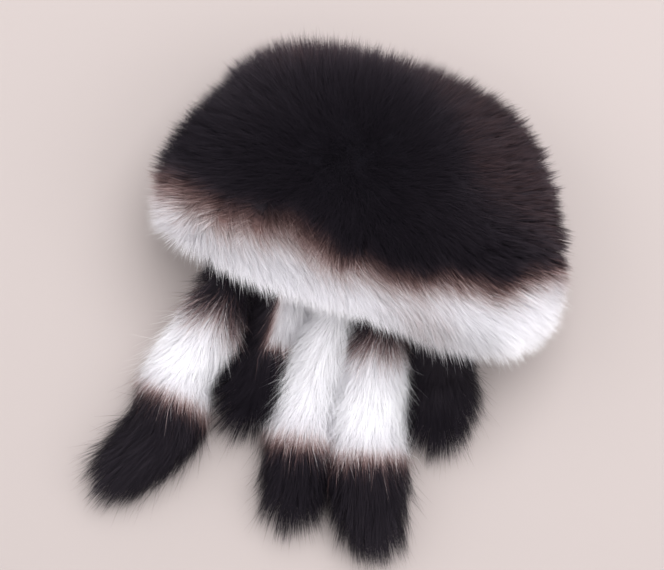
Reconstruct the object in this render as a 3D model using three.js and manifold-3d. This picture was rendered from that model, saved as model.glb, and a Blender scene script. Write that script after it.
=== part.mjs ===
// A long-haired fox-fur cossack hat, lying on its front with the back upwards and five short
// tails fanned out from its back rim. Millimetres, +X along the width of the hat, +Y from the
// rim to the crown, +Z up from the surface that it lies on, origin on that surface under the hat.
import * as THREE from "three";
import { mergeVertices } from "three/addons/utils/BufferGeometryUtils.js";
import Module from "manifold-3d";

const wasm = await Module();
wasm.setup();

// Driving dimensions
const HIDE = 2.5; // thickness of the hide that the hair grows on
const GAP = 0.35; // clearance between two pieces that touch
const MOUTH_REACH = 60; // how far the cutting plug runs out through the mouth
const SQUARENESS = 2.4; // exponent of the flattened oval that the lying hat takes
const AROUND = 26; // facets round the hat
const ALONG = 10; // facets from the rim to the top of the crown
const PILE_BODY = 15; // depth of the dense part of the pile
const LOCK_REACH = 30; // how far the lock tips stand off the hide
const LOCK_ROOT = 0.35; // share of the dense pile under the root of a lock
const FLOOR_CLEARANCE = 1.5; // no lock comes nearer than this to the surface under the hat
const RIM_TILT = 0.06; // how much further from the crown the rim runs for each unit to the right
// How much nearer to the crown the ends of the rim are, and how sharply they turn up to it
const RIM_ENDS = { left: { rise: 17, power: 4 }, right: { rise: 14, power: 8 } };
const RIM_FRINGE = 9; // how far the dense pile runs past the rim
const FRINGE_BODY = 0.55; // depth of the pile past the rim, as a share of the dense pile
const DYE_STATION = 0.2; // where on the hide the dyed fur begins, 0 at the rim and 1 at the top
const DYE_RISE = 5; // how much nearer to the crown than the rim the dye begins at the two ends
const DYE_LEAN = 0.55; // how far the dye edge leans to the rim for each unit of pile depth
const BEYOND = 300; // further than any part of the hat

// Inner face of the hide at cross-sections from the rim to the top of the crown: the half width
// of each, how far its middle is shifted to the right, and its lowest and highest points
const SECTIONS = [
  { y: -74, halfWidth: 115, shift: 1, low: 13, high: 92 },
  { y: -52, halfWidth: 118, shift: 0, low: 13, high: 104 },
  { y: -22, halfWidth: 116, shift: 0, low: 13, high: 113 },
  { y: 6, halfWidth: 104, shift: 0, low: 13, high: 114 },
  { y: 30, halfWidth: 91, shift: -2, low: 14, high: 109 },
  { y: 47, halfWidth: 79, shift: -5, low: 19, high: 99 },
  { y: 57, halfWidth: 60, shift: -9, low: 29, high: 85 },
  { y: 60, halfWidth: 34, shift: -10, low: 41, high: 71 },
  { y: 61, halfWidth: 0, shift: -10, low: 56, high: 56 },
];

// Locks of the hat, in rows round it from the rim to the crown
const LOCK_ROWS = [
  { station: 0.03, count: 17, length: 27, width: 44, rise: 0.36 },
  { station: 0.18, count: 17, length: 42, width: 47, rise: 0.38 },
  { station: 0.35, count: 16, length: 42, width: 48, rise: 0.38 },
  { station: 0.52, count: 14, length: 42, width: 48, rise: 0.38 },
  { station: 0.69, count: 11, length: 42, width: 46, rise: 0.38 },
  { station: 0.86, count: 7, length: 38, width: 42, rise: 0.38 },
];
const LOCK_THICKNESS = 14;
const LOCK_LIFT = 0.6; // how much steeper than over its whole length a lock rises from its root
const LOCK_RUN = 0.9; // how far a lock runs out along its lay, as a share of its length
const LOCK_VARIATION = 0.12; // how much larger or smaller than its row a lock is
// One lock from root to tip: its share of the full width and thickness
const LOCK_FORM = [
  { along: 0, wide: 0.7, thick: 1 },
  { along: 0.55, wide: 1, thick: 1.1 },
  { along: 1, wide: 0.22, thick: 0.3 },
];
const HAIR_PARTING = new THREE.Vector3(-15, 0, 120); // the locks of the hat lie away from here
const RIM_LAY = new THREE.Vector3(0, -40, 0); // how the locks of the rim are drawn to the mouth

// Tails from left to right: where each crosses the rim, lies at mid length and ends, with the
// widest width and height that it has on the surface, the width at the seam, and how much of its
// way across it has gone halfway from mid length to the tip
const TAILS = [
  { rimX: -78, mid: [-97, -150], tip: [-131, -241], width: 53, height: 44, seam: 30, bend: 0.1 },
  { rimX: -39, mid: [-43, -130], tip: [-47, -176], width: 47, height: 33, seam: 24, bend: 0.35 },
  { rimX: -8, mid: [-5, -150], tip: [6, -232], width: 44, height: 45, seam: 26, bend: 0.35 },
  { rimX: 28, mid: [39, -150], tip: [69, -237], width: 58, height: 46, seam: 34, bend: 0.35 },
  { rimX: 72, mid: [84, -118], tip: [91, -150], width: 50, height: 34, seam: 30, bend: 0.35 },
];
// Share of the full width and height of a tail along its length, and its height over the surface
const TAIL_FORM = [
  { along: 0, wide: 0, high: 0 },
  { along: 0.03, wide: 0.42, high: 0.3 },
  { along: 0.12, wide: 0.68, high: 0.5 },
  { along: 0.3, wide: 0.82, high: 0.86 },
  { along: 0.5, wide: 0.87, high: 1 },
  { along: 0.7, wide: 1, high: 0.96 },
  { along: 0.86, wide: 0.82, high: 0.72 },
  { along: 0.95, wide: 0.46, high: 0.42 },
  { along: 1, wide: 0, high: 0 },
];
// Middle line of a tail over the surface: on which leg a knot lies, 0 from the rim to mid length,
// 1 from there to the tip, how far along it, and how high as a share of the tail's own height. The
// knot without a share across takes the tail's bend.
const TAIL_KNOTS = [
  { leg: 0, across: 0.45, along: 0.62, height: 0.75 },
  { leg: 1, across: 0, along: 0, height: 0.35 },
  { leg: 1, along: 0.52, height: 0.34 },
  { leg: 1, across: 1, along: 1, height: 0.26 },
];
const SEAM_DEPTH = 0.1; // how far under the hide a tail's middle starts, as a share of its height
const RIM_DEPTH = 0.46; // how far under the hide its middle passes the rim, as a share of its height
const SEAM_RUN = 0.6; // how far a tail runs out level from its seam, as a share of the seam's width
const TAIL_LOCK = { length: 40, width: 28, thickness: 10, rise: 0.2 };
const TAIL_SIDES = 8;
const TAIL_ROOT_Y = -66; // where the tails are sewn to the hide, just inside the rim
const TAIL_LOCK_ROWS = [0.36, 0.6, 0.84];
const TAIL_LOCKS_ROUND = 4;
const TAIL_LOCK_SPAN = { from: -0.15, to: 1.15 }; // half turns over the back that the locks span
const TAIL_LOCK_ROOT = 0.36; // how far off the middle line they root, as a share of the tail

const COLOURS = { dyed: "#1b171c", white: "#e9e6e8", tail: "#8d7f80", hide: "#b9a58c" };

// A repeatable scatter between -1 and 1 from a whole number
function scatter(seed) {
  const wave = Math.sin(seed * 12.9898 + 4.1414) * 43758.5453;
  return 2 * (wave - Math.floor(wave)) - 1;
}

function signedPower(value, exponent) {
  return Math.sign(value) * Math.abs(value) ** exponent;
}

// Solids from lofted rings

// One closed body through rings of points, with a fan over each end
function loft(rings) {
  const sides = rings[0].length;
  const points = rings.flat();
  const faces = [];
  for (let r = 0; r + 1 < rings.length; r += 1) {
    for (let i = 0; i < sides; i += 1) {
      const j = (i + 1) % sides;
      const [a, b] = [r * sides + i, r * sides + j];
      faces.push(a, b, b + sides, a, b + sides, a + sides);
    }
  }
  for (const [r, turn] of [[0, true], [rings.length - 1, false]]) {
    const middle = points.length;
    const centre = new THREE.Vector3();
    rings[r].forEach((p) => centre.addScaledVector(p, 1 / sides));
    points.push(centre);
    for (let i = 0; i < sides; i += 1) {
      const [a, b] = [r * sides + i, r * sides + ((i + 1) % sides)];
      if (turn) faces.push(middle, b, a);
      else faces.push(middle, a, b);
    }
  }
  return solid(points, faces);
}

// A solid for joining and cutting, from points and faces that share them
function solid(points, faces) {
  const geometry = new THREE.BufferGeometry().setFromPoints(points);
  geometry.setIndex(faces);
  const merged = mergeVertices(geometry, 1e-3);
  const corners = Array.from(merged.index.array);
  const kept = [];
  for (let i = 0; i < corners.length; i += 3) {
    const [a, b, c] = corners.slice(i, i + 3);
    if (a !== b && b !== c && a !== c) kept.push(a, b, c);
  }
  const build = (triangles) =>
    new wasm.Manifold(
      new wasm.Mesh({
        numProp: 3,
        vertProperties: merged.attributes.position.array,
        triVerts: new Uint32Array(triangles),
      }),
    );
  const made = build(kept);
  return made.volume() > 0 ? made : build(kept.reverse());
}

// A solid with its clearance round it, for cutting its neighbour back
function withClearance(made) {
  const shifts = [[0, 0, 0], [GAP, 0, 0], [-GAP, 0, 0], [0, 0, GAP], [0, 0, -GAP]];
  return wasm.Manifold.union(shifts.map((shift) => made.translate(shift)));
}

// The largest body of a cut solid, so that no crumb of a trimmed lock stays behind
function largest(made) {
  const bodies = made.decompose();
  return bodies.reduce((best, body) => (body.volume() > best.volume() ? body : best));
}

function meshOf(made, name, colour, roughness) {
  const { vertProperties, triVerts } = made.getMesh();
  const geometry = new THREE.BufferGeometry();
  geometry.setAttribute("position", new THREE.BufferAttribute(vertProperties, 3));
  geometry.setIndex(new THREE.BufferAttribute(triVerts, 1));
  geometry.computeVertexNormals();
  const material = new THREE.MeshStandardMaterial({ color: colour, roughness, metalness: 0 });
  const mesh = new THREE.Mesh(geometry, material);
  mesh.name = name;
  return mesh;
}

// The cap: its surface, its hide and the pile round it

const sideCurve = new THREE.CatmullRomCurve3(
  SECTIONS.map(({ y, halfWidth, shift }) => new THREE.Vector3(y, halfWidth, shift)),
);
const heightCurve = new THREE.CatmullRomCurve3(
  SECTIONS.map(({ low, high }) => new THREE.Vector3(low, high, 0)),
);

function capPoint(station, angle) {
  const { x: y, y: halfWidth, z: shift } = sideCurve.getPoint(station);
  const { x: low, y: high } = heightCurve.getPoint(station);
  const x = shift + halfWidth * signedPower(Math.cos(angle), 2 / SQUARENESS);
  const z = (low + high) / 2 + ((high - low) / 2) * signedPower(Math.sin(angle), 2 / SQUARENESS);
  const { rise, power } = Math.cos(angle) < 0 ? RIM_ENDS.left : RIM_ENDS.right;
  const turn = rise * Math.abs(Math.cos(angle)) ** power - RIM_TILT * x;
  return new THREE.Vector3(x, y + turn * (1 - station) ** 3, z);
}

// Angles for places spread evenly round the flattened oval, from a share of the way round it
const ovalSteps = Array.from({ length: 241 }, (_, i) => (i / 240) * 2 * Math.PI);
const ovalLengths = [0];
ovalSteps.slice(1).forEach((angle, i) => {
  const chord = capPoint(DYE_STATION, angle).distanceTo(capPoint(DYE_STATION, ovalSteps[i]));
  ovalLengths.push(ovalLengths[i] + chord);
});

function evenAngle(share) {
  const length = (share - Math.floor(share)) * ovalLengths.at(-1);
  const next = Math.max(1, ovalLengths.findIndex((reached) => reached >= length));
  const part = (length - ovalLengths[next - 1]) / (ovalLengths[next] - ovalLengths[next - 1]);
  return ovalSteps[next - 1] + part * (ovalSteps[next] - ovalSteps[next - 1]);
}

function capNormal(station, angle) {
  if (station > 0.99) return new THREE.Vector3(0, 1, 0);
  const step = 0.01;
  const [s0, s1] = [Math.max(station - step, 0), Math.min(station + step, 1)];
  const along = capPoint(s1, angle).sub(capPoint(s0, angle));
  const around = capPoint(station, angle + step).sub(capPoint(station, angle - step));
  return along.cross(around).normalize();
}

// Point at a depth over the inner face of the hide
function capOffset(station, angle, depth) {
  return capPoint(station, angle).addScaledVector(capNormal(station, angle), depth);
}

function capRing(station, depth) {
  return Array.from({ length: AROUND }, (_, i) =>
    capOffset(station, evenAngle((i + 0.5) / AROUND), depth),
  );
}

function stations() {
  return Array.from({ length: ALONG }, (_, i) => i / (ALONG - 1));
}

// The hide is a sock: its inner face from the crown to the rim, then its outer face back
function hideCap(inner, outer) {
  const inside = stations().reverse().map((s) => capRing(s, inner));
  const outside = stations().map((s) => capRing(s, outer));
  return loft([...inside, ...outside]);
}

// The filled cap, run out through the mouth, that clears the pile off the hide and the hollow
function capPlug() {
  const rings = stations().map((s) => capRing(s, HIDE + GAP));
  const mouth = rings[0].map((p) => new THREE.Vector3(p.x, p.y - MOUTH_REACH, p.z));
  return loft([mouth, ...rings]);
}

// The dense pile, pressed flat where the hat lies on it, with a fringe past the rim
function pileBody() {
  const rings = stations().map((s) =>
    capRing(s, HIDE + PILE_BODY).map((p) => new THREE.Vector3(p.x, p.y, Math.max(p.z, 0))),
  );
  const fringe = capRing(0, HIDE + PILE_BODY * FRINGE_BODY).map(
    (p) => new THREE.Vector3(p.x, p.y - RIM_FRINGE, Math.max(p.z, 0)),
  );
  return loft([fringe, ...rings]);
}

// One lock: a tapering tuft with a ridge along its back, which rises from its root and bends
// over towards its lay
function lock(root, lift, lay, { length, width, thickness, rise }) {
  const side = new THREE.Vector3().crossVectors(lift, lay).normalize();
  const back = new THREE.Vector3().crossVectors(side, lay).normalize();
  if (back.dot(lift) < 0) back.negate();
  const rings = LOCK_FORM.map(({ along, wide, thick }) => {
    const centre = root
      .clone()
      .addScaledVector(lift, length * rise * along * (1 + LOCK_LIFT * (1 - along)))
      .addScaledVector(lay, length * LOCK_RUN * along * ((1 + along) / 2));
    return [
      centre.clone().addScaledVector(side, (width / 2) * wide),
      centre.clone().addScaledVector(back, (thickness / 2) * thick),
      centre.clone().addScaledVector(side, (-width / 2) * wide),
    ];
  });
  return loft(rings);
}

// Locks lie away from the highest part of the back, as the hair does
function hatLocks() {
  const made = [];
  LOCK_ROWS.forEach(({ station, count, length, width, rise }, row) => {
    for (let i = 0; i < count; i += 1) {
      const seed = row * 100 + i;
      const angle = evenAngle((i + 0.5 * (row % 2) + 0.2 * scatter(seed)) / count);
      const normal = capNormal(station, angle);
      const root = capOffset(station, angle, HIDE + PILE_BODY * LOCK_ROOT);
      const away = root.clone().sub(HAIR_PARTING);
      const lay = away.addScaledVector(normal, -away.dot(normal));
      if (row === 0) lay.add(RIM_LAY);
      lay.normalize();
      const size = 1 + LOCK_VARIATION * scatter(seed + 0.5);
      const form = { length: length * size, width: width * size, thickness: LOCK_THICKNESS, rise };
      const tuft = lock(root, normal, lay, form);
      if (tuft.boundingBox().min[2] > FLOOR_CLEARANCE) made.push(tuft);
    }
  });
  return made;
}

// Everything on the crown side of the dye edge, which leans over towards the rim
function dyedRegion(shift) {
  const ring = (depth) =>
    Array.from({ length: AROUND }, (_, i) => {
      const angle = evenAngle((i + 0.5) / AROUND);
      const point = capOffset(DYE_STATION, angle, depth);
      point.y += DYE_RISE * Math.abs(Math.cos(angle)) ** 3 - DYE_LEAN * Math.max(depth, 0) + shift;
      return point;
    });
  const far = ring(LOCK_REACH * 2);
  const beyond = far.map((p) => new THREE.Vector3(p.x, p.y + BEYOND, p.z));
  return loft([ring(-LOCK_REACH / 2), ring(0), far, beyond]);
}

// Tails

// Height of the hide's inner face over the seam of a tail at a place across the hat
function seamTop(x) {
  const [rim, next] = SECTIONS;
  const part = (TAIL_ROOT_Y - rim.y) / (next.y - rim.y);
  const [halfWidth, low, high] = ["halfWidth", "low", "high"].map(
    (column) => rim[column] + (next[column] - rim[column]) * part,
  );
  const share = (1 - (Math.abs(x) / halfWidth) ** SQUARENESS) ** (1 / SQUARENESS);
  return (low + high) / 2 + ((high - low) / 2) * share;
}

// Middle line of a tail: out from its seam, over the rim, down to the surface and along it
function tailLine({ rimX, mid, tip, height: tailHeight, seam, bend }) {
  const top = seamTop(rimX);
  const legs = [
    { start: [rimX, TAIL_ROOT_Y], end: mid },
    { start: mid, end: tip },
  ];
  const laid = TAIL_KNOTS.map(({ leg, across = bend, along, height }) => {
    const { start, end } = legs[leg];
    const x = start[0] + (end[0] - start[0]) * across;
    const y = start[1] + (end[1] - start[1]) * along;
    return new THREE.Vector3(x, y, height * tailHeight);
  });
  return new THREE.CatmullRomCurve3([
    new THREE.Vector3(rimX, TAIL_ROOT_Y, top - SEAM_DEPTH * tailHeight),
    new THREE.Vector3(rimX, TAIL_ROOT_Y - SEAM_RUN * seam, top - RIM_DEPTH * tailHeight),
    ...laid,
  ]);
}

function tailSize(along, column) {
  const next = Math.max(1, TAIL_FORM.findIndex((row) => row.along >= along));
  const [a, b] = [TAIL_FORM[next - 1], TAIL_FORM[next]];
  return a[column] + ((b[column] - a[column]) * (along - a.along)) / (b.along - a.along);
}

// Frame of a tail at a share of its length: its middle, its run, and its side and upward axes
function tailFrame(line, along) {
  const centre = line.getPointAt(along);
  const run = line.getTangentAt(along);
  const side = new THREE.Vector3().crossVectors(run, new THREE.Vector3(0, 0, 1)).normalize();
  const up = new THREE.Vector3().crossVectors(side, run);
  return { centre, run, side, up };
}

function tailSolid(tail) {
  const line = tailLine(tail);
  const rings = TAIL_FORM.map(({ along, wide, high }) => {
    const { centre, side, up } = tailFrame(line, along);
    const [across, over] = [(tail.width / 2) * wide, (tail.height / 2) * high];
    return Array.from({ length: TAIL_SIDES }, (_, i) => {
      const angle = ((i + 0.5) / TAIL_SIDES) * 2 * Math.PI;
      const point = centre
        .clone()
        .addScaledVector(side, across * Math.cos(angle))
        .addScaledVector(up, over * Math.sin(angle));
      point.z = Math.max(point.z, 0);
      return point;
    });
  });
  const tufts = [];
  TAIL_LOCK_ROWS.forEach((along, row) => {
    const { centre, run, side, up } = tailFrame(line, along);
    for (let i = 0; i < TAIL_LOCKS_ROUND; i += 1) {
      const share = (i + 0.25 + 0.5 * (row % 2)) / TAIL_LOCKS_ROUND;
      const angle = (TAIL_LOCK_SPAN.from + (TAIL_LOCK_SPAN.to - TAIL_LOCK_SPAN.from) * share) * Math.PI;
      const out = side
        .clone()
        .multiplyScalar(Math.cos(angle))
        .addScaledVector(up, Math.sin(angle));
      const reach = TAIL_LOCK_ROOT * (1 + LOCK_VARIATION * scatter(row * 10 + i));
      const root = centre
        .clone()
        .addScaledVector(side, tail.width * tailSize(along, "wide") * reach * Math.cos(angle))
        .addScaledVector(up, tail.height * tailSize(along, "high") * reach * Math.sin(angle));
      const tuft = lock(root, out, run, TAIL_LOCK);
      if (tuft.boundingBox().min[2] > FLOOR_CLEARANCE) tufts.push(tuft);
    }
  });
  return wasm.Manifold.union([loft(rings), ...tufts]);
}

// Assembly

const hide = hideCap(0, HIDE);
const plug = capPlug();
const wholePile = wasm.Manifold.union([pileBody(), ...hatLocks()]).subtract(plug);
const crown = largest(wholePile.intersect(dyedRegion(0)));
const hideClearance = wasm.Manifold.union([hideCap(-GAP, HIDE + GAP), withClearance(hide)]);

const tails = [];
for (const row of TAILS) {
  let made = tailSolid(row).subtract(hideClearance);
  tails.forEach((earlier) => {
    made = made.subtract(withClearance(earlier));
  });
  tails.push(largest(made));
}

let bandPile = wholePile.subtract(dyedRegion(-GAP * 2));
tails.forEach((tail) => {
  bandPile = bandPile.subtract(withClearance(tail));
});
const band = largest(bandPile);

const hat = new THREE.Group();
hat.add(meshOf(hide, "hide_cap", COLOURS.hide, 0.9));
hat.add(meshOf(crown, "crown_fur", COLOURS.dyed, 0.8));
hat.add(meshOf(band, "band_fur", COLOURS.white, 0.8));
tails.forEach((tail, i) => {
  hat.add(meshOf(tail, `tail_${i + 1}`, COLOURS.tail, 0.8));
});

export default hat;
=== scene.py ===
import functools
import math

import bmesh
import bpy
import numpy as np
from mathutils import Matrix, Vector
from mathutils.kdtree import KDTree


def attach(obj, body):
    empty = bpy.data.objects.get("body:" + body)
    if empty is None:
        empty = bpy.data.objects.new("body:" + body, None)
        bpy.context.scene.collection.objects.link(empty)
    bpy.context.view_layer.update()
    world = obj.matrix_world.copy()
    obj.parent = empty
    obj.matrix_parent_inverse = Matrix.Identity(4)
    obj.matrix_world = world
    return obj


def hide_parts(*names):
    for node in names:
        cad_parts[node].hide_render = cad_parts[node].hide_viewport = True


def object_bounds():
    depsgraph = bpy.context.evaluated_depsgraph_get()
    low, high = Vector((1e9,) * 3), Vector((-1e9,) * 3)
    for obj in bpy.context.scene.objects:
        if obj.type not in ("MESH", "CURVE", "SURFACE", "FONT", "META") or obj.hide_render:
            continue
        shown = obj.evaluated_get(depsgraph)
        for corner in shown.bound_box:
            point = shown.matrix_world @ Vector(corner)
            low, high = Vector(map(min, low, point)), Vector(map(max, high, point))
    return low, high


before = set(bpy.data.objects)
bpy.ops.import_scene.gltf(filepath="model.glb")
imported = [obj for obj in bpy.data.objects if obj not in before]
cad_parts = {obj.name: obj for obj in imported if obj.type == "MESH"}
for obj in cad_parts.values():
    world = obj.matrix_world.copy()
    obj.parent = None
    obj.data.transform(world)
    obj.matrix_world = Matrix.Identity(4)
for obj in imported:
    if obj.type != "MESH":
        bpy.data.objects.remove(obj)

cad_low, cad_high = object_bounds()
MM = 0.001

# The view: a camera high over the hat, nearly straight down from the tail side and rolled so
# that the hat lies turned clockwise in the picture.
VIEW_CENTRE = Vector((-10.0, -69.0, 45.0)) * MM
VIEW_WIDTH = 465 * MM
VIEW_DISTANCE = 1.25
VIEW_ELEVATION = math.radians(84.0)
VIEW_ROLL = math.radians(14.7)
VIEW_REACH = 20


def placed(name, data):
    """An object of the scene that holds a camera, a lamp or a mesh."""
    made = bpy.data.objects.new(name, data)
    bpy.context.collection.objects.link(made)
    return made


camera = placed("camera", bpy.data.cameras.new("camera"))
camera.data.lens = camera.data.sensor_width * VIEW_DISTANCE / VIEW_WIDTH
view_back = Vector((0, -math.cos(VIEW_ELEVATION), math.sin(VIEW_ELEVATION)))
camera.location = VIEW_CENTRE + view_back * VIEW_DISTANCE
camera.rotation_euler = (
    view_back.to_track_quat("Z", "Y").to_matrix() @ Matrix.Rotation(VIEW_ROLL, 3, "Z")
).to_euler()
camera.data.clip_end = VIEW_REACH
bpy.context.scene.camera = camera


# The floor is a pale sheet of card, and soft boxes stand over it: a wide one on the crown side,
# which throws the shadows towards the tails, and a weaker one for each end of the hat.
FLOOR_COLOUR = (0.374, 0.33, 0.322)
FLOOR_ROUGHNESS = 0.9
FLOOR_SHINE = 0.15
FLOOR_HALF = 6.0
SOFT_BOXES = (
    {"name": "top_box", "place": (0.15, 0.6, 1.9), "size": 1.5, "power": 46},
    {"name": "left_box", "place": (-1.2, 0.0, 1.4), "size": 1.2, "power": 9.5},
    {"name": "right_box", "place": (1.3, 0.0, 1.4), "size": 1.2, "power": 10},
)
ROOM_LIGHT = (1.0, 0.985, 0.98)
ROOM_STRENGTH = 0.81


def material(name, constants):
    """A new material, its nodes and its shader, with constants on the shader's own sockets."""
    made = bpy.data.materials.new(name)
    made.use_nodes = True
    shader = made.node_tree.nodes["Principled BSDF"]
    for socket, value in constants.items():
        shader.inputs[socket].default_value = value
    return made, made.node_tree, shader


def mesh_data(name, mesh):
    """The mesh that a finished bmesh is kept as, smooth all over."""
    data = bpy.data.meshes.new(name)
    mesh.to_mesh(data)
    mesh.free()
    data.polygons.foreach_set("use_smooth", [True] * len(data.polygons))
    return data


card = material(
    "card",
    {
        "Base Color": (*FLOOR_COLOUR, 1),
        "Roughness": FLOOR_ROUGHNESS,
        "Specular IOR Level": FLOOR_SHINE,
    },
)[0]
sheet = bmesh.new()
bmesh.ops.create_grid(sheet, x_segments=1, y_segments=1, size=FLOOR_HALF)
floor = placed("floor", mesh_data("floor", sheet))
floor.data.materials.append(card)

for box in SOFT_BOXES:
    lamp = placed(box["name"], bpy.data.lights.new(box["name"], "AREA"))
    lamp.data.size = box["size"]
    lamp.data.energy = box["power"]
    lamp.location = box["place"]
    lamp.rotation_euler = Vector(box["place"]).to_track_quat("Z", "Y").to_euler()
world = bpy.data.worlds.new("studio")
bpy.context.scene.world = world
world.use_nodes = True
room = world.node_tree.nodes["Background"]
room.inputs["Color"].default_value = (*ROOM_LIGHT, 1)
room.inputs["Strength"].default_value = ROOM_STRENGTH
bpy.context.scene.view_settings.view_transform = "Standard"


# The hide: fox pelts sewn to a soft cap with the leather side in. It shows only in the mouth,
# as matt tan suede with a fine nap and cloudy patches.
HIDE_SMOOTHING = 0.6
SUEDE_STOPS = ((0.3, (0.36, 0.26, 0.17)), (0.7, (0.56, 0.45, 0.32)))
SUEDE_ROUGHNESS = 0.95
NAP = {"scale": 900.0, "detail": 6.0, "share": 0.3, "depth": 0.4 * MM, "strength": 0.6}
PATCHES = {"scale": 45.0, "detail": 4.0, "share": 0.7}


class Socket:
    """A socket of a material, so that its numbers are worked out with plain operators."""

    def __init__(self, tree, link):
        self.tree = tree
        self.link = link

    def maths(self, operation, other, swap=False):
        pair = (other, self) if swap else (self, other)
        return node(self.tree, "ShaderNodeMath", {"operation": operation}, pair)

    def __add__(self, other):
        return self.maths("ADD", other)

    __radd__ = __add__

    def __mul__(self, other):
        return self.maths("MULTIPLY", other)

    __rmul__ = __mul__

    def __sub__(self, other):
        return self.maths("SUBTRACT", other)

    def __rsub__(self, other):
        return self.maths("SUBTRACT", other, swap=True)


def node(tree, kind, settings, values=(), output=0):
    """A node of a type, its settings, then its sockets' values or links by number or name."""
    made = tree.nodes.new(kind)
    for name, value in settings.items():
        if name == "stops":
            ramp = made.color_ramp.elements
            while len(ramp) < len(value):
                ramp.new(0.5)
            for stop, (place, colour) in zip(ramp, value):
                stop.position = place
                stop.color = (*colour, 1)
        else:
            setattr(made, name, value)
    pairs = values.items() if isinstance(values, dict) else enumerate(values)
    for key, value in pairs:
        if isinstance(value, Socket):
            tree.links.new(value.link, made.inputs[key])
        else:
            made.inputs[key].default_value = value
    return Socket(tree, made.outputs[output])


def noise(tree, place, look):
    """The grain of a finish, as fine and as broken as its row says."""
    values = {"Vector": place, "Scale": look["scale"], "Detail": look["detail"]}
    return node(tree, "ShaderNodeTexNoise", {}, values)


def finish(tree, shader, colour, height, look):
    """Feeds a shader its colour, and the bumps of its grain."""
    bumps = {"Height": height, "Distance": look["depth"], "Strength": look["strength"]}
    bump = node(tree, "ShaderNodeBump", {}, bumps)
    tree.links.new(colour.link, shader.inputs["Base Color"])
    tree.links.new(bump.link, shader.inputs["Normal"])


def piece(name, data, coat, solid):
    """A finished mesh becomes a piece that rides with the hat and stands for one of its solids."""
    data.materials.append(coat)
    made = placed(name, data)
    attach(made, "root")
    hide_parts(solid)


def merged(name):
    """A CAD solid as a bmesh of its own with its corners joined."""
    mesh = bmesh.new()
    mesh.from_mesh(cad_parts[name].data)
    bmesh.ops.remove_doubles(mesh, verts=mesh.verts, dist=1e-6)
    return mesh


suede, suede_tree, suede_shader = material("suede", {"Roughness": SUEDE_ROUGHNESS})
suede_place = node(suede_tree, "ShaderNodeTexCoord", {}, output="Object")
nap = noise(suede_tree, suede_place, NAP)
patches = noise(suede_tree, suede_place, PATCHES)
suede_mix = patches * PATCHES["share"] + nap * NAP["share"]
suede_colour = node(suede_tree, "ShaderNodeValToRGB", {"stops": SUEDE_STOPS}, {"Fac": suede_mix})
finish(suede_tree, suede_shader, suede_colour, nap, NAP)

hide = merged("hide_cap")
bmesh.ops.subdivide_edges(hide, edges=hide.edges, cuts=1, use_grid_fill=True, smooth=HIDE_SMOOTHING)
piece("hide", mesh_data("hide", hide), suede, "hide_cap")


# The pile: the dense underfur of the hat, a soft body that fills the depth under the long hair.
# It is dyed near black over the crown, and is left white round the rim.
CAP_AXIS = Vector((-3, 0, 56)) * MM
CAP_DOME = 30 * MM
MOUTH_FACING = -0.8
PILE_DEPTH = 15 * MM
PILE_TUFTS = {"swell": 0.16, "across": 190, "up": 90, "along": 160, "shift": 1}
PILE_LIP = 0.9
PILE_FLOOR = 1.2 * MM
# The pile takes the painted root shade of a hair at this place along it: painted shade deep in the fur.
PILE_SHADE = 0.2
PILE_GRAIN = {"scale": 420.0, "detail": 5.0, "share": 0.12, "depth": 1.5 * MM, "strength": 0.8}
PILE_ROUGHNESS = 0.9
PILE_SHINE = 0.1
PILE_DARKER = 0.04
PILE_WHITES = (0.02, 0.9)
ORDER_RUN = Vector((1.0, 1.7, 2.3))

# The edge of the dye, in mm: its line over the hide, its uneven waves, and how far past it the
# dyed hair has its roots. The brown edge is wide on the left of a seam and narrow on the right.
DYE_LINE = (
    {"x": -150, "y": -28},
    {"x": -130, "y": -40},
    {"x": -108, "y": -45},
    {"x": -66, "y": -51},
    {"x": -37, "y": -50},
    {"x": -24, "y": -55},
    {"x": -10, "y": -61},
    {"x": 31, "y": -63},
    {"x": 52, "y": -57},
    {"x": 98, "y": -53},
    {"x": 118, "y": -36},
    {"x": 140, "y": -24},
)
DYE_WAVES = (
    {"high": 1.8, "rate": 95, "shift": 0.6},
    {"high": 1.5, "rate": 231, "shift": 0.0},
)
DYE_SEAM = {"x": -12, "blur": 8, "edge": 32, "change": 6}
ROOT_SHIFT = 13 * MM

# Fur runs from dyed, 0, over its brown edge to clean white, 1. Painted shade makes the white a little
# darker on the left and greys the fringe at the right below, and painted sheen makes the dyed crown
# lighter towards the right and the top.
FUR_STOPS = (
    (0.0, (0.0042, 0.0034, 0.0062)),
    (0.24, (0.015, 0.0122, 0.0165)),
    (0.3, (0.026, 0.0205, 0.0262)),
    (0.4, (0.06, 0.034, 0.034)),
    (0.5, (0.2, 0.122, 0.115)),
    (0.6, (0.47, 0.375, 0.37)),
    (0.72, (0.76, 0.745, 0.775)),
    (1.0, (0.99, 0.99, 1.0)),
)
# Hairs are painted darker towards the root: painted shade between the hairs.
ROOT_SHADE = {"level": 0.62, "end": 0.6}
DYED_WHITE = 0.05
EDGE_WHITES = (0.14, 0.7)
EDGE_BEND = 0.7
WHITES_WITH_PAINTED_SHADE = {"x": (60, 100), "white": (0.92, 0.97)}
PAINTED_SHEEN = {"most": 0.28, "start": 35, "end": 85, "even": 0.45, "right": 220, "crown": 80}
FRINGE_PAINTED_SHADE = {"most": 0.2, "start": 72, "end": 88, "x": 66, "spread": 34, "whites": (0.6, 0.8)}
HAIR_PARTING = np.array((-20, 4)) * MM


def rise(values, start, end):
    """A straight rise from 0 at the start to 1 at the end."""
    return np.clip((values - start) / (end - start), 0, 1)


def hill(values, middle, spread):
    """1 at the middle, and falling off to both sides."""
    return np.exp(-(((values - middle) / spread) ** 2))


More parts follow.
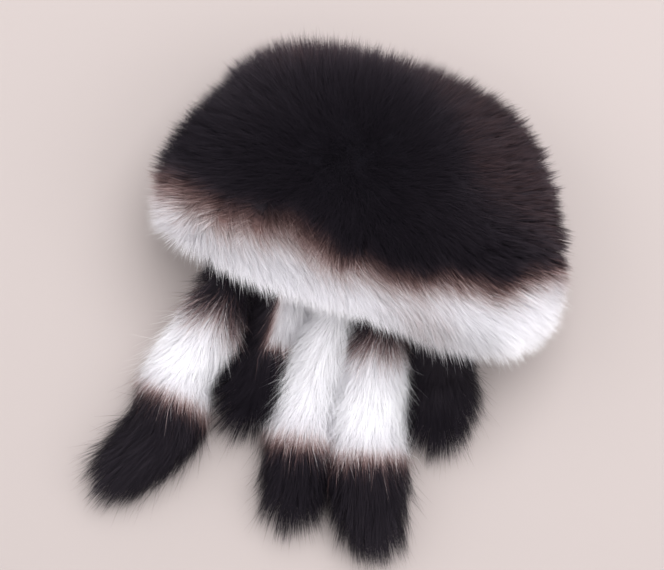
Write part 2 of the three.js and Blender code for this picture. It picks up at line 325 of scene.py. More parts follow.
def outer_side(mesh):
    """Leaves the outer face of the hide alone in a mesh of it."""
    inner = []
    for face in mesh.faces:
        middle = face.calc_center_median()
        axis = Vector((CAP_AXIS.x, min(middle.y, CAP_DOME), CAP_AXIS.z))
        if face.normal.y < MOUTH_FACING or face.normal.dot(middle - axis) < 0:
            inner.append(face)
    bmesh.ops.delete(mesh, geom=inner, context="FACES")
    mesh.normal_update()


def dye_depth(points):
    """How far points on the hide lie on the crown side of the edge of the dye, in metres."""
    across = [row["x"] * MM for row in DYE_LINE]
    edge = [row["y"] * MM for row in DYE_LINE]
    x = points[:, 0]
    wave = sum(row["high"] * MM * np.sin(x * row["rate"] + row["shift"]) for row in DYE_WAVES)
    return points[:, 1] - np.interp(x, across, edge) - wave


def whiteness(depth, soft, bare):
    """From the distance into the dye, over an edge so soft, to how white the fur is."""
    blend = np.clip(0.5 - depth / soft, 0, 1)
    paler = np.clip(-depth / (2 * soft), 0, 1)
    start, end = EDGE_WHITES
    white = start + blend**EDGE_BEND * (end - start) + paler * (bare - end)
    return np.where(blend <= 0, DYED_WHITE, white)


def hat_white(points, ragged=0.0):
    """How white the fur of the hat is at points round it, with an edge that may be ragged."""
    x, y = points[:, 0] / MM, points[:, 1] / MM
    soft = DYE_SEAM["edge"] - DYE_SEAM["change"] * np.tanh((x - DYE_SEAM["x"]) / DYE_SEAM["blur"])
    # The clean white is set a little lower on the left than at the right end: painted shade.
    bare = np.interp(x, WHITES_WITH_PAINTED_SHADE["x"], WHITES_WITH_PAINTED_SHADE["white"])
    white = whiteness(dye_depth(points) + ragged, soft * MM, bare)
    # The white of the fringe at the right below is greyed: painted shade.
    painted_shade = FRINGE_PAINTED_SHADE
    shaded = rise(-y, painted_shade["start"], painted_shade["end"]) * hill(x, painted_shade["x"], painted_shade["spread"])
    white -= painted_shade["most"] * shaded * rise(white, *painted_shade["whites"])
    # Painted sheen: the dyed crown is made lighter towards the right and the top, away from the
    # parting.
    reach = np.linalg.norm(points[:, :2] - HAIR_PARTING, axis=1) / MM
    side = np.clip(PAINTED_SHEEN["even"] + x / PAINTED_SHEEN["right"] + y / PAINTED_SHEEN["crown"], 0, 1)
    sheen_grey = PAINTED_SHEEN["most"] * side * rise(reach, PAINTED_SHEEN["start"], PAINTED_SHEEN["end"])
    return np.maximum(white, DYED_WHITE + sheen_grey)


def graded(tree, value, start, end, low, high):
    """A level that goes from low to high while a value goes from its start to its end."""
    values = {"Value": value, "From Min": start, "From Max": end, "To Min": low, "To Max": high}
    return node(tree, "ShaderNodeMapRange", {}, values)


def fur_colours(tree, across, along):
    """Colour of fur from how white it is, and from its place on the hair, with painted shade at the
    root.
    """
    base = node(tree, "ShaderNodeValToRGB", {"stops": FUR_STOPS}, {"Fac": across})
    shade = graded(tree, along, 0.0, ROOT_SHADE["end"], ROOT_SHADE["level"], 1.0)
    shading = node(tree, "ShaderNodeCombineColor", {}, (shade, shade, shade))
    mixing = {"data_type": "RGBA", "blend_type": "MULTIPLY"}
    return node(tree, "ShaderNodeMix", mixing, {0: 1.0, 6: base, 7: shading}, output=2)


def mark_dye(mesh, white_at):
    """Keeps at each corner of a mesh how white the fur there is."""
    mark = mesh.verts.layers.float.new("dye")
    white = white_at(np.array([vert.co[:] for vert in mesh.verts]))
    for vert, value in zip(mesh.verts, np.clip(white - PILE_DARKER, *PILE_WHITES)):
        vert[mark] = value


def put_in_order(mesh):
    """Sorts edges and faces, because an extrusion adds them in another order at each run."""
    mesh.edges.sort(key=lambda edge: (edge.verts[0].co + edge.verts[1].co).dot(ORDER_RUN))
    mesh.faces.sort(key=lambda face: face.calc_center_median().dot(ORDER_RUN))


def pile(name, solid, dyed):
    """The underfur over the part of the hide that is dyed or that isn't."""
    mesh = merged("hide_cap")
    outer_side(mesh)
    bmesh.ops.subdivide_edges(mesh, edges=mesh.edges, cuts=3, use_grid_fill=True)
    mesh.normal_update()
    depths = dye_depth(np.array([face.calc_center_median()[:] for face in mesh.faces]))
    other = [face for face, depth in zip(mesh.faces, depths) if (depth > ROOT_SHIFT) != dyed]
    for vert in mesh.verts:
        across = math.sin(vert.co.x * PILE_TUFTS["across"] + vert.co.z * PILE_TUFTS["up"])
        along = math.sin(vert.co.y * PILE_TUFTS["along"] + PILE_TUFTS["shift"])
        vert.co += vert.normal * PILE_DEPTH * (1 + PILE_TUFTS["swell"] * across * along)
        vert.co.z = max(vert.co.z, PILE_FLOOR)
    mark_dye(mesh, hat_white)
    bmesh.ops.delete(mesh, geom=other, context="FACES")
    edges = [edge for edge in mesh.edges if edge.is_boundary]
    lip = bmesh.ops.extrude_edge_only(mesh, edges=edges)
    for vert in (v for v in lip["geom"] if isinstance(v, bmesh.types.BMVert)):
        vert.co -= vert.normal * PILE_DEPTH * PILE_LIP
    bmesh.ops.recalc_face_normals(mesh, faces=mesh.faces)
    put_in_order(mesh)
    piece(name, mesh_data(name, mesh), underfur, solid)


underfur, underfur_tree, underfur_shader = material(
    "underfur", {"Roughness": PILE_ROUGHNESS, "Specular IOR Level": PILE_SHINE}
)
pile_place = node(underfur_tree, "ShaderNodeTexCoord", {}, output="Object")
pile_dye = node(underfur_tree, "ShaderNodeAttribute", {"attribute_name": "dye"}, output="Fac")
grain = noise(underfur_tree, pile_place, PILE_GRAIN)
mottled = pile_dye + (grain - 0.5) * PILE_GRAIN["share"]
pile_colour = fur_colours(underfur_tree, mottled, PILE_SHADE)
finish(underfur_tree, underfur_shader, pile_colour, grain, PILE_GRAIN)

pile("crown_pile", "crown_fur", dyed=True)
pile("band_pile", "band_fur", dyed=False)


# The long guard hair of the hat: thousands of fine tapering hairs rooted in the pile, swept
# outwards from the highest part of the back and gathered into small pointed locks.
HAIR_WIDTH = 0.21 * MM
HAIR_WIDTHS = (0.7, 1.3)
HAIR_BODY = 0.9
HAIR_WAIST = 0.42
HAIR_FORK = 0.14
HAIR_WAVE = {"swing": 0.14, "x_rate": 110, "x_shift": 2, "y_rate": 90}
FIRST_HALF = {"lean": 0.55, "fork": 0.6}
LOOSE_HAIR = {"share": 0.12, "lean": 0.85, "fork": 1.8, "pull": 0.1, "clump": 0.6, "width": 0.8}
LOCKS = {"leaders": 1 / 8, "spread": 0.2, "most": 0.9}
TUFT_LEADERS = 1 / 45
LEAST_LEADERS = 8
LOCK_WIDTH = 0.25
LOCK_BEND = 0.38
HAIR_ROOM = np.array((16, 16, 12)) * MM
FLOOR_LIFT = 0.5 * MM
FLOOR_LAYERS = 2 * MM
FLOOR_SLIDE = 0.5
BLADE_TURN = 1.1
ROUND_TURN = 0.6

# How the dye takes on single hairs: a ragged edge, a few hairs at random made lighter as painted
# glints, more of them where the crown has its painted sheen, and hairs that keep the tone of their root
# up to the tip.
DYE_RAGGED = 2.0 * MM
GLINT_HAIRS = {"share": 0.06, "more": 2, "whites": (0.12, 0.27), "paler": 0.03}
TONE_SPREAD = 0.06
TONE_KEPT = (0.1, 0.3)
CHART_DYES = (0.01, 0.99)
CHART_SPLAY = np.array((-0.004, 0.004, -0.004, 0.004, 0.0))
CHART_RUN = np.array((0.01, 0.01, 0.5, 0.5, 0.99))
CHART_FOOT = 0.002
CHART_TOP = 0.992


def unit(vectors):
    return vectors / np.maximum(np.linalg.norm(vectors, axis=1, keepdims=True), 1e-9)


def scatter_on(mesh, count, rng, weight):
    """Random places on a mesh, with their smooth normals, thicker where the weight is greater."""
    mesh.normal_update()
    bmesh.ops.triangulate(mesh, faces=mesh.faces)
    corners = np.array([[vert.co[:] for vert in face.verts] for face in mesh.faces])
    slopes = np.array([[vert.normal[:] for vert in face.verts] for face in mesh.faces])
    areas = np.array([face.calc_area() for face in mesh.faces])
    areas *= weight(corners.mean(1), slopes.mean(1))
    chosen = rng.choice(len(areas), count, p=areas / areas.sum())
    share = rng.random((count, 2))
    over = share.sum(1) > 1
    share[over] = 1 - share[over]
    weights = np.column_stack((1 - share.sum(1), share))[:, :, None]
    return (corners[chosen] * weights).sum(1), unit((slopes[chosen] * weights).sum(1))


def gather(roots, ends, leading, pull, rng):
    """Draws the ends of hairs towards the end of the nearest of a few leading hairs."""
    count = max(LEAST_LEADERS, int(len(roots) * leading))
    leaders = rng.choice(len(roots), count, replace=False)
    tree = KDTree(count)
    for place, leader in enumerate(leaders):
        tree.insert(roots[leader], place)
    tree.balance()
    nearest = leaders[np.array([tree.find(root)[1] for root in roots])]
    target = ends[nearest] + (roots - roots[nearest]) * LOCK_WIDTH
    return ends + (target - ends) * pull[:, None]


def leaning(coat, lean):
    """Directions that lean from the skin's normals towards the lie of a coat."""
    return coat["normals"] * np.cos(lean)[:, None] + coat["lay"] * np.sin(lean)[:, None]


def hair_runs(coat, loose, rng):
    """The middles and tips of hairs: bent from the root, drawn into locks, kept off the floor."""
    roots, lay, clump = coat["roots"], coat["lay"], coat["clump"]
    count = len(roots)
    longer = rng.uniform(1.0, 1 + coat["stray"], count)
    half = np.where(loose, coat["length"] * longer, coat["length"])[:, None] / 2
    lean = np.where(loose, coat["lean"] * LOOSE_HAIR["lean"], coat["lean"])
    fork = rng.normal(0, HAIR_FORK, (count, 3)) * np.where(loose, LOOSE_HAIR["fork"], 1.0)[:, None]
    wave_x = np.sin(roots[:, 1] * HAIR_WAVE["x_rate"] + HAIR_WAVE["x_shift"])
    wave_y = np.sin(roots[:, 0] * HAIR_WAVE["y_rate"])
    wave = np.column_stack((wave_x, wave_y, np.zeros(count))) * HAIR_WAVE["swing"]
    first = leaning(coat, lean * FIRST_HALF["lean"]) + fork * FIRST_HALF["fork"]
    second = leaning(coat, lean) + fork + wave
    middle = roots + unit(first) * half
    tip = middle + unit(second) * half
    pull = np.clip(coat["pull"] + rng.normal(0, LOCKS["spread"], count), 0, LOCKS["most"])
    drawn = gather(roots, tip, LOCKS["leaders"], np.where(loose, LOOSE_HAIR["pull"], pull), rng)
    tufted = np.where(loose, clump * LOOSE_HAIR["clump"], clump)
    drawn = gather(roots, drawn, TUFT_LEADERS, tufted, rng)
    middle += (drawn - tip) * LOCK_BEND
    for points in (middle, drawn):
        points[:] = np.clip(points, np.array(cad_low) - HAIR_ROOM, np.array(cad_high) + HAIR_ROOM)
        low = np.maximum(0, FLOOR_LIFT + rng.random(count) * FLOOR_LAYERS - points[:, 2])
        points[:, 2] += low
        points[:, :2] += lay[:, :2] * low[:, None] * FLOOR_SLIDE
    return middle, drawn


def hair_blades(coat, loose, middle, tip, rng):
    """Flat blades of five corners along hairs, turned at random, and the way each is shaded."""
    roots, normals = coat["roots"], coat["normals"]
    run = unit(tip - roots)
    turn = rng.uniform(-BLADE_TURN, BLADE_TURN, len(roots))[:, None]
    face = unit(normals - run * (normals * run).sum(1, keepdims=True))
    flank = np.cross(run, face)
    width = HAIR_WIDTH * rng.uniform(*HAIR_WIDTHS, len(roots)) * (HAIR_BODY + coat["clump"])
    width *= np.where(loose, LOOSE_HAIR["width"], 1.0)
    span = (flank * np.cos(turn) + face * np.sin(turn)) * width[:, None]
    waist = span * HAIR_WAIST
    corners = (roots - span / 2, roots + span / 2, middle - waist, middle + waist, tip)
    shading = face * np.cos(turn * ROUND_TURN) - flank * np.sin(turn * ROUND_TURN)
    return np.stack(corners, axis=1), shading


def hair_dye(places, white_at, rng):
    """How white each hair is at its five corners, from its roots, middles and tips."""
    count = len(places[0])
    ragged = rng.normal(0, DYE_RAGGED, count)
    low, high = GLINT_HAIRS["whites"]
    coat = white_at(places[0])
    # A few hairs at random are made lighter: painted glints.
    glint_more = 1 + GLINT_HAIRS["more"] * ((coat > low) & (coat < high))
    sheen_grey = rng.random(count) < GLINT_HAIRS["share"] * glint_more
    tone_and_painted_light = rng.uniform(-TONE_SPREAD, TONE_SPREAD, count) + np.where(sheen_grey, GLINT_HAIRS["paler"], 0.0)
    at_root, at_middle, at_tip = (white_at(place, ragged) + tone_and_painted_light for place in places)
    keeps = np.clip(rng.normal(*TONE_KEPT, count), 0, 1)
    at_middle += (at_root - at_middle) * keeps
    at_tip += (at_root - at_tip) * keeps
    dye = np.stack((at_root, at_root, at_middle, at_middle, at_tip), axis=1)
    return np.clip(dye, *CHART_DYES) + CHART_SPLAY


def blade_mesh(name, blades, dye, painted_shade, shading):
    """One joined mesh of blades, each with one smooth normal, with its dye and run as a UV map."""
    count = len(blades)
    shapes = np.array(((0, 1, 3), (0, 3, 2), (2, 3, 4)))
    corners = (np.arange(count)[:, None, None] * 5 + shapes).reshape(-1)
    data = bpy.data.meshes.new(name)
    data.vertices.add(count * 5)
    data.vertices.foreach_set("co", blades.ravel())
    data.loops.add(len(corners))
    data.loops.foreach_set("vertex_index", corners)
    data.polygons.add(len(corners) // 3)
    data.polygons.foreach_set("loop_start", np.arange(0, len(corners), 3))
    data.polygons.foreach_set("use_smooth", np.ones(len(corners) // 3, dtype=bool))
    data.update(calc_edges=True)
    # Painted shade shortens the run, so more of a hair takes the painted root shade; below zero it
    # lengthens it.
    run = np.minimum(CHART_RUN * (1 - painted_shade)[:, None] + CHART_FOOT, CHART_TOP)
    chart = np.stack((dye, run), axis=2).reshape(-1, 2)[corners]
    data.uv_layers.new(name="OFBake").data.foreach_set("uv", chart.ravel())
    data.normals_split_custom_set_from_vertices(np.repeat(shading, 5, axis=0))
    return data


def hair(names, solid, coat, white_at, rng):
    """Hairs of a coat, bent, drawn together and dyed, and shared out over joined meshes."""
    loose = rng.random(len(coat["roots"])) < LOOSE_HAIR["share"]
    middle, tip = hair_runs(coat, loose, rng)
    blades, shading = hair_blades(coat, loose, middle, tip, rng)
    dye = hair_dye((coat["roots"], middle, tip), white_at, rng)
    for part, name in enumerate(names):
        one = slice(part, None, len(names))
        data = blade_mesh(name, blades[one], dye[one], coat["painted_shade"][one], shading[one])
        piece(name, data, guard_hair, solid)


# A guard hair is glossy where it is dyed. Where it is white it is softer, and light glows in it.
HAIR_SHINE = 0.24
HAIR_SHINE_TINT = (1.0, 0.86, 0.98, 1)
GLOW_TINT = (0.97, 0.965, 1.0, 1)
GLOW = {"start": 0.58, "end": 0.8, "low": 0.0, "high": 0.4}
SHEEN = {"start": 0.03, "end": 0.22, "low": 0.7, "high": 0.34}

guard_hair, hair_tree, hair_shader = material(
    "guard_hair", {"Specular IOR Level": HAIR_SHINE, "Specular Tint": HAIR_SHINE_TINT}
)
hair_chart = node(hair_tree, "ShaderNodeUVMap", {"uv_map": "OFBake"})
hair_dyes = node(hair_tree, "ShaderNodeSeparateXYZ", {}, (hair_chart,))
hair_run = Socket(hair_tree, hair_dyes.link.node.outputs["Y"])
hair_colour = fur_colours(hair_tree, hair_dyes, hair_run)
glow = node(hair_tree, "ShaderNodeBsdfTranslucent", {}, {"Color": GLOW_TINT})
pale = graded(hair_tree, hair_dyes, *GLOW.values())
dressed = Socket(hair_tree, hair_shader.outputs[0])
coated = node(hair_tree, "ShaderNodeMixShader", {}, (pale, dressed, glow))
sheen = graded(hair_tree, hair_dyes, *SHEEN.values())
hair_tree.links.new(hair_colour.link, hair_shader.inputs["Base Color"])
hair_tree.links.new(sheen.link, hair_shader.inputs["Roughness"])
hair_tree.links.new(coated.link, hair_tree.nodes["Material Output"].inputs["Surface"])

# The two coats of the hat. The dyed one is drawn into locks and tufts towards its ends, and the
# bare one is combed to the right and past the rim. Lengths and zones are in mm.
CROWN_COAT = {
    "names": ("crown_hair_1", "crown_hair_2", "crown_hair_3"),
    "slot": "dyed_fur", "solid": "crown_fur", "dyed": True, "count": 132000, "seed": 11,
    "left_end": 0.11, "top_end": 0.14, "locks": 0.46, "tufts": 0.42,
}
BAND_COAT = {
    "names": ("band_hair_1", "band_hair_2"),
    "slot": "white_fur", "solid": "band_fur", "dyed": False, "count": 84000, "seed": 21,
    "left_end": -0.05, "top_end": 0.0, "locks": 0.0, "tufts": 0.0,
}
UNDERSIDE = {"slope": -0.6, "share": 0.2}
COAT_LENGTH = 26
COAT_LENGTHS = (0.55, 1.14)
COAT_STRAY = 0.16
COAT_JITTER = 14 * MM
COAT_LEAN = {"flat": 18, "least": 42, "reach": 70}
ROOT_DEPTH = 0.45
ROOT_FLOOR = 1.5 * MM
RIM = (60, 74)
BAND_LAY = np.array((1.15, -0.55))
BAND_COMB = {"rim": -0.7, "away": 0.3, "left": (90, 112), "left_share": 0.8}
FRINGES = ({"x": 62, "spread": 38, "longer": 0.35}, {"x": -58, "spread": 40, "longer": 0.2})
RIGHT_CORNER = {"x": (96, 116), "below": (54, 68), "shorter": 0.22}
TOP_END = (30, 55)
LEFT_END = (80, 110)
LOCK_PULL = {"least": 0.34, "reach": (70, 100)}
TUFT_PULL = {"least": 0.1, "reach": (68, 93)}
# The hairs of the fringe at the right below take more of the painted root shade along their run:
# painted shade.
FRINGE_HAIR_PAINTED_SHADE = {"most": 0.95, "x": (10, 45, 88, 112), "share": (0.25, 1, 1, 0)}


def hat_hair(row):
    """One coat of the hat: where its hairs stand, how they lie, and how they are trimmed."""
    rng = np.random.default_rng(row["seed"])
    count = row["count"]
    mesh = merged("hide_cap")
    outer_side(mesh)

    def weight(middles, slopes):
        inside = (dye_depth(middles) > ROOT_SHIFT) == row["dyed"]
        return inside * np.where(slopes[:, 2] < UNDERSIDE["slope"], UNDERSIDE["share"], 1.0)

    skin, normals = scatter_on(mesh, count, rng, weight)
    mesh.free()
    x, y = skin[:, 0] / MM, skin[:, 1] / MM
    rim = rise(-y, *RIM)
    away = skin[:, :2] - HAIR_PARTING
    reach = np.linalg.norm(away, axis=1) / MM
    away = unit(away + rng.normal(0, COAT_JITTER, (count, 2)))
    if not row["dyed"]:
        left = rise(-x, *BAND_COMB["left"])[:, None]
        combed = BAND_LAY * (1 - BAND_COMB["left_share"] * left)
        combed[:, 1] += BAND_COMB["rim"] * rim
        away = unit(away * (BAND_COMB["away"] + (1 - BAND_COMB["away"]) * left) + combed)
    corner = rise(x, *RIGHT_CORNER["x"]) * rise(-y, *RIGHT_CORNER["below"])
    trim = 1 - RIGHT_CORNER["shorter"] * corner
    for fringe in FRINGES:
        trim *= 1 + fringe["longer"] * rim * hill(x, fringe["x"], fringe["spread"])
    trim *= 1 + row["left_end"] * rise(-x, *LEFT_END)
    trim *= 1 + row["top_end"] * rise(y, *TOP_END)
    roots = skin + normals * (PILE_DEPTH * ROOT_DEPTH)
    roots[:, 2] = np.maximum(roots[:, 2], ROOT_FLOOR)
    flat = COAT_LEAN["flat"] * rise(reach, 0, COAT_LEAN["reach"])
    coat = {
        "roots": roots,
        "normals": normals,
        "lay": np.column_stack((away, np.zeros(count))),
        "lean": np.radians(flat + COAT_LEAN["least"]),
        "length": COAT_LENGTH * MM * rng.uniform(*COAT_LENGTHS, count) * trim,
        "pull": LOCK_PULL["least"] + row["locks"] * rise(reach, *LOCK_PULL["reach"]),
        "clump": TUFT_PULL["least"] + row["tufts"] * rise(reach, *TUFT_PULL["reach"]),
        "painted_shade": FRINGE_HAIR_PAINTED_SHADE["most"] * rim * np.interp(x, FRINGE_HAIR_PAINTED_SHADE["x"], FRINGE_HAIR_PAINTED_SHADE["share"]),
        "stray": COAT_STRAY,
    }
    hair(row["names"], row["solid"], coat, hat_white, rng)


for row in (CROWN_COAT, BAND_COAT):
    hat_hair(row)


# The tails: five short fox tails sewn under the back rim, each a narrow strip of pelt with hair
# all round it that ends in a loose brush. They lie on the floor, dark, white and dark by turns.
TAIL_FORM = (
    {"along": 0.0, "wide": 0.3, "high": 0.24},
    {"along": 0.12, "wide": 0.5, "high": 0.46},
    {"along": 0.3, "wide": 0.64, "high": 0.8},
    {"along": 0.5, "wide": 0.72, "high": 0.92},
    {"along": 0.7, "wide": 0.86, "high": 0.84},
    {"along": 0.84, "wide": 0.66, "high": 0.58},
    {"along": 0.93, "wide": 0.32, "high": 0.3},
)
TAIL_ROOT_Y = -66
TAIL_CORE = 0.78
TAIL_SEGMENTS = 18
TAIL_SMOOTHING = 0.5
TAIL_FLOOR = 1.5 * MM
MOUTH = {"half": 115, "low": 13, "high": 92, "squareness": 2.4}
LINE_HEIGHTS = {"seam": 0.1, "fall": 0.46, "landing": 0.75, "mid": 0.4, "bend": 0.38, "tip": 0.28}
FALL_SHARE = 0.6
LANDING = {"x": 0.45, "y": 0.62}
BEND_SHARE = 0.52
LINE_STEPS = 60
RUN_STEPS = 2
FLANK_SHARPNESS = 2.5
ROOT_EDGE = 0.9
TAIL_EDGE = 18 * MM
TAIL_WHITE = 0.98
TAIL_UNDERSIDE = {"slope": -0.7, "share": 0.15}
TAIL_LEAN = (75, 4)
TAIL_LENGTH = {"root": 21, "more": 16, "range": (0.6, 1.12)}
TAIL_ROOT_DEPTH = 2 * MM
TAIL_TIP_HEIGHT = 0.25
TURN_ZONE = (0.55, 0.85)
FLARE_ZONE = (0.6, 0.9)
BUSHY_ZONE = (-0.45, -0.15)
TAIL_PULL = 0.4
# Below zero, so the painted root shade on the tails' hair is cut short and their white stays bright.
TAIL_PAINTED_SHADE = -0.9
TAIL_STRAY = 0.4
TAIL_TUFTS = {"least": 0.06, "more": 0.26, "zone": (0.6, 0.8)}

# Each tail has, in mm, its place on the rim, the middle and tip of its line, the size of its fur
# and how far it falls from its seam, with the share of its turn that comes early (bend).
# Its dye: the start and end of its white stretch, its dyed left flank, how much lighter or darker the
# whole tail is painted (darker on tail_2 and tail_3 as painted shade), how far the dye creeps down its
# two sides, the slant of its tip's edge, its root's mottling.
# Its hair stands out by "bushy" degrees at the root and by "flare" at the brush, and is drawn
# by the share "pointed" to a point past the tip.
NO_WHITE = (-900, -901)
NO_FLANK = -99
TAILS = (
    {"name": "tail_1", "rim_x": -78, "mid": (-97, -150), "tip": (-131, -241),
     "width": 53, "height": 44, "seam": 30, "bend": 0.1,
     "white": (-97, -175), "dyed_flank": NO_FLANK, "tone_and_painted_light": 0.01,
     "sides": (0.6, 0.75), "cant": 0.16, "mottle": 2.5,
     "bushy": 28, "flare": 0, "point": (-136, -262), "pointed": 0.9, "count": 24000, "seed": 31},
    {"name": "tail_2", "rim_x": -39, "mid": (-43, -130), "tip": (-47, -176),
     "width": 47, "height": 33, "seam": 24, "bend": 0.35,
     "white": (-40, -116), "dyed_flank": -5, "tone_and_painted_light": -0.1,
     "sides": (0, 0), "cant": 0, "mottle": 1.5,
     "bushy": 14, "flare": 24, "point": (-66, -215), "pointed": 0.35, "count": 15000, "seed": 32},
    {"name": "tail_3", "rim_x": -2, "mid": (-6, -150), "tip": (4, -232),
     "width": 44, "height": 45, "seam": 26, "bend": 0.35,
     "white": (-20, -185), "dyed_flank": NO_FLANK, "tone_and_painted_light": -0.07,
     "sides": (0, 0), "cant": 0, "mottle": 1.5,
     "bushy": 14, "flare": 8, "point": (12, -262), "pointed": 0.3, "count": 20000, "seed": 33},
    {"name": "tail_4", "rim_x": 28, "mid": (39, -150), "tip": (69, -237),
     "width": 58, "height": 46, "seam": 34, "bend": 0.35,
     "white": (-92, -180), "dyed_flank": NO_FLANK, "tone_and_painted_light": 0.02,
     "sides": (0.55, 0.3), "cant": 0, "mottle": 2,
     "bushy": 14, "flare": 4, "point": (78, -272), "pointed": 0.5, "count": 24000, "seed": 34},
    {"name": "tail_5", "rim_x": 72, "mid": (84, -118), "tip": (91, -150),
     "width": 50, "height": 34, "seam": 30, "bend": 0.35,
     "white": NO_WHITE, "dyed_flank": NO_FLANK, "tone_and_painted_light": 0.0,
     "sides": (0, 0), "cant": 0, "mottle": 1.5,
     "bushy": 14, "flare": 12, "point": (98, -185), "pointed": 0.2, "count": 15000, "seed": 35},
)


def smooth_step(a, b, c, d, t):
    """A point of a smooth curve between knots b and c, at share t of the way."""
    bend = (2 * a - 5 * b + 4 * c - d) * t**2 + (3 * b - a - 3 * c + d) * t**3
    return 0.5 * (2 * b + (c - a) * t + bend)


def tail_line(tail):
    """The middle line of a tail, from its seam inside the rim, down to the floor and along it."""
    power = MOUTH["squareness"]
    share = (1 - (abs(tail["rim_x"]) / MOUTH["half"]) ** power) ** (1 / power)
    top = (MOUTH["low"] + MOUTH["high"]) / 2 + (MOUTH["high"] - MOUTH["low"]) / 2 * share
    rim_x, (mid_x, mid_y), (tip_x, tip_y) = tail["rim_x"], tail["mid"], tail["tip"]
    fall_y = TAIL_ROOT_Y - tail["seam"] * FALL_SHARE
    landing_x = rim_x + (mid_x - rim_x) * LANDING["x"]
    landing_y = TAIL_ROOT_Y + (mid_y - TAIL_ROOT_Y) * LANDING["y"]
    bend_x = mid_x + (tip_x - mid_x) * tail["bend"]
    bend_y = mid_y + (tip_y - mid_y) * BEND_SHARE
    up = {knot: tail["height"] * share for knot, share in LINE_HEIGHTS.items()}
    knots = np.array(
        (
            (rim_x, TAIL_ROOT_Y, top - up["seam"]),
            (rim_x, fall_y, top - up["fall"]),
            (landing_x, landing_y, up["landing"]),
            (mid_x, mid_y, up["mid"]),
            (bend_x, bend_y, up["bend"]),
            (tip_x, tip_y, up["tip"]),
        )
    )
    ends = np.vstack((2 * knots[0] - knots[1], knots, 2 * knots[-1] - knots[-2]))
    points = []
    for span in zip(ends, ends[1:], ends[2:], ends[3:]):
        for t in np.linspace(0, 1, LINE_STEPS // (len(knots) - 1), endpoint=False):
            points.append(smooth_step(*span, t))
    points.append(knots[-1])
    points = np.array(points) * MM
    reach = np.concatenate(((0,), np.cumsum(np.linalg.norm(np.diff(points, axis=0), axis=1))))
    even = np.linspace(0, reach[-1], LINE_STEPS + 1)
    return np.column_stack([np.interp(even, reach, points[:, axis]) for axis in range(3)])


def tail_core(tail, line):
    """The pelt and underfur of a tail: rings bridged to a closed body that lies flat beneath."""
    mesh = bmesh.new()
    loops = []
    for row in TAIL_FORM:
        place = round(row["along"] * LINE_STEPS)
        run = Vector(line[min(place + 1, LINE_STEPS)] - line[max(place - 1, 0)]).normalized()
        side = run.cross(Vector((0, 0, 1))).normalized()
        up = side.cross(run)
        ring = bmesh.ops.create_circle(mesh, segments=TAIL_SEGMENTS, radius=1.0)["verts"]
        for vert in ring:
            wide = vert.co.x * row["wide"] * tail["width"] * TAIL_CORE * MM / 2
            high = vert.co.y * row["high"] * tail["height"] * TAIL_CORE * MM / 2
            vert.co = Vector(line[place]) + side * wide + up * high
            vert.co.z = max(vert.co.z, TAIL_FLOOR)
        loops.append(list({edge for vert in ring for edge in vert.link_edges}))
    for near, far in zip(loops, loops[1:]):
        bmesh.ops.bridge_loops(mesh, edges=near + far)
    for end in (loops[0], loops[-1]):
        bmesh.ops.contextual_create(mesh, geom=end)
    bmesh.ops.subdivide_edges(mesh, edges=mesh.edges, cuts=2, use_grid_fill=True, smooth=TAIL_SMOOTHING)
    bmesh.ops.recalc_face_normals(mesh, faces=mesh.faces)
    return mesh


def tail_place(line, points):
    """The nearest step of a tail's middle line to each point, and the run of the line there."""
    apart = np.linalg.norm(points[:, None, :] - line[None, :, :], axis=2)
    nearest = apart.argmin(1)
    ahead = line[np.minimum(nearest + RUN_STEPS, LINE_STEPS)]
    behind = line[np.maximum(nearest - RUN_STEPS, 0)]
    return nearest, unit(ahead - behind)


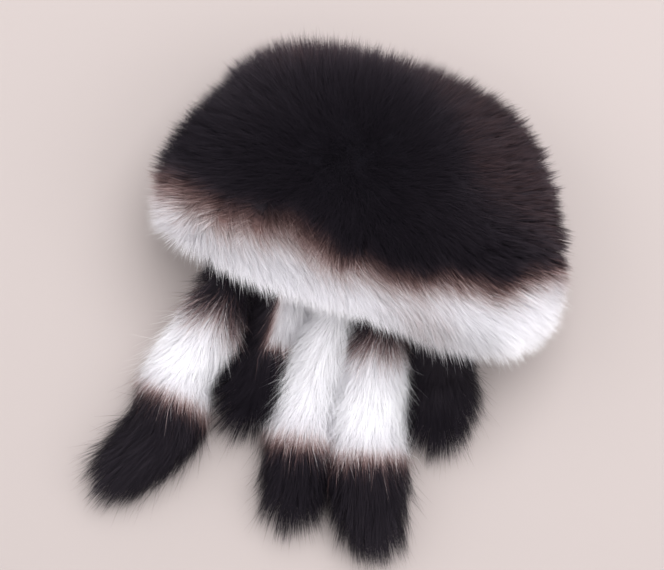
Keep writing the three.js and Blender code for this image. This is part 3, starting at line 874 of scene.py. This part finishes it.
def tail_white(tail, line, points, ragged=0.0):
    """How white a tail is: its white stretch, with dye before it, past it and on the left flank."""
    nearest, run = tail_place(line, points)
    off = points - line[nearest]
    reached = line[nearest, 1] + (off * run).sum(1) * run[:, 1]
    start, end = (place * MM for place in tail["white"])
    left, right = tail["sides"]
    sides = left * np.maximum(-off[:, 0], 0) + right * np.maximum(off[:, 0], 0)
    root_side = (reached - start + sides) * ROOT_EDGE + ragged * tail["mottle"]
    tip_side = end - reached + ragged - tail["cant"] * off[:, 0]
    flank_side = (tail["dyed_flank"] * MM - off[:, 0]) * FLANK_SHARPNESS + ragged
    depth = np.maximum.reduce((root_side, tip_side, flank_side))
    # The whole tail is lifted or lowered by its own amount: painted shade darkens tail_2 and tail_3.
    return whiteness(depth, TAIL_EDGE, TAIL_WHITE) + tail["tone_and_painted_light"]


def tail_hair(tail, line, core, white_at):
    """The hair of a tail, rooted in its pelt, along its line and drawn to its point."""
    rng = np.random.default_rng(tail["seed"])

    def weight(middles, slopes):
        return np.where(slopes[:, 2] < TAIL_UNDERSIDE["slope"], TAIL_UNDERSIDE["share"], 1.0)

    skin, normals = scatter_on(core, tail["count"], rng, weight)
    core.free()
    nearest, lay = tail_place(line, skin)
    along = nearest / LINE_STEPS
    point = np.array((*tail["point"], tail["height"] * TAIL_TIP_HEIGHT)) * MM
    turned = tail["pointed"] * rise(along, *TURN_ZONE)[:, None]
    flare = tail["flare"] * rise(along, *FLARE_ZONE) + tail["bushy"] * rise(-along, *BUSHY_ZONE)
    lean = np.radians(rng.normal(*TAIL_LEAN, len(skin)) - flare)
    length = (TAIL_LENGTH["root"] + TAIL_LENGTH["more"] * along) * MM
    coat = {
        "roots": skin - normals * TAIL_ROOT_DEPTH,
        "normals": normals,
        "lay": unit(lay * (1 - turned) + unit(point - skin) * turned),
        "lean": lean,
        "length": length * rng.uniform(*TAIL_LENGTH["range"], len(skin)),
        "pull": np.full(len(skin), TAIL_PULL),
        "clump": TAIL_TUFTS["least"] + TAIL_TUFTS["more"] * rise(along, *TAIL_TUFTS["zone"]),
        "painted_shade": np.full(len(skin), TAIL_PAINTED_SHADE),
        "stray": TAIL_STRAY,
    }
    hair((tail["name"] + "_hair",), tail["name"], coat, white_at, rng)


for tail in TAILS:
    line = tail_line(tail)
    white_at = functools.partial(tail_white, tail, line)
    pelt = tail_core(tail, line)
    mark_dye(pelt, white_at)
    pelt_name = tail["name"] + "_pelt"
    piece(pelt_name, mesh_data(pelt_name, pelt), underfur, tail["name"])
    tail_hair(tail, line, tail_core(tail, line), white_at)
